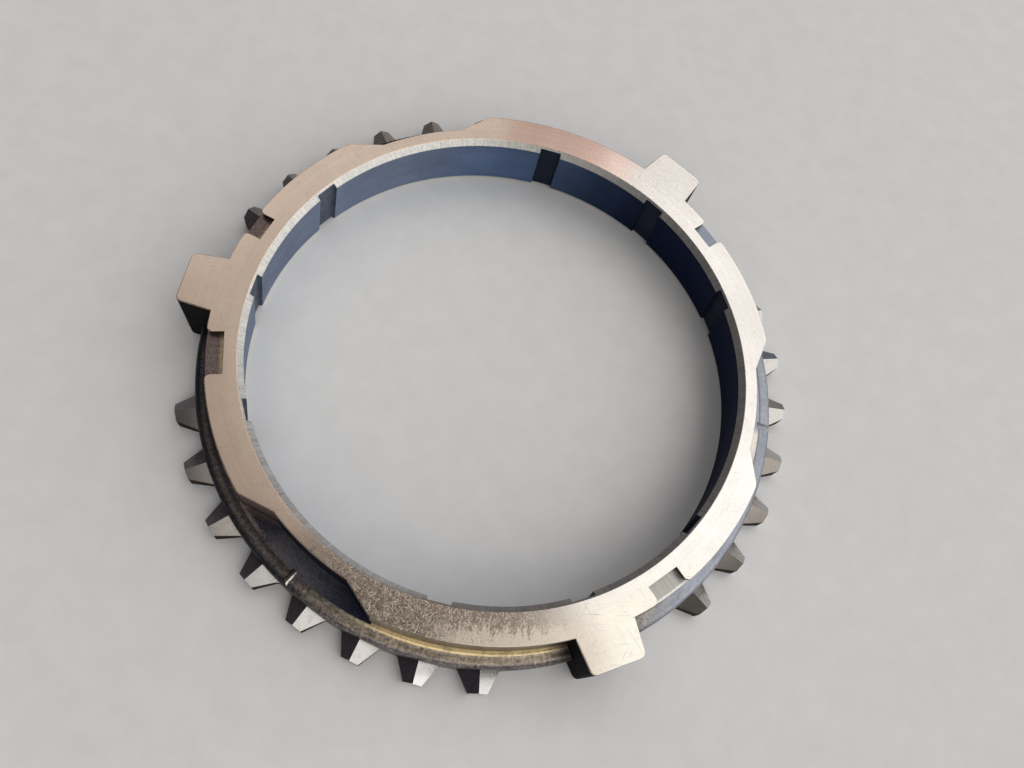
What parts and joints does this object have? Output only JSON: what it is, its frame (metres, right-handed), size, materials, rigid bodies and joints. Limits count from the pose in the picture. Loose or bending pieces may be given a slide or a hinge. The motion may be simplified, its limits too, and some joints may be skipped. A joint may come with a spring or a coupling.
{
  "type": "synchronizer ring",
  "caption": "Toothed steel ring with a grooved friction cone in its bore, drive lugs and rim pockets; it brings a gear to shaft speed before the teeth engage.",
  "frame": {"origin": "on the ring's axis, in the plane of the gear side's flat face", "axes": "+Z along the ring's axis, from the toothed gear side to the hub side; -X through the middle of the first drive lug"},
  "size_m": [0.0775, 0.078, 0.009],
  "materials": {
    "steel": "satin ground hub face, rough forged rim, matte dark friction cone"
  },
  "bodies": {
    "root": {"synchro_ring": "steel"}
  },
  "joints": []
}
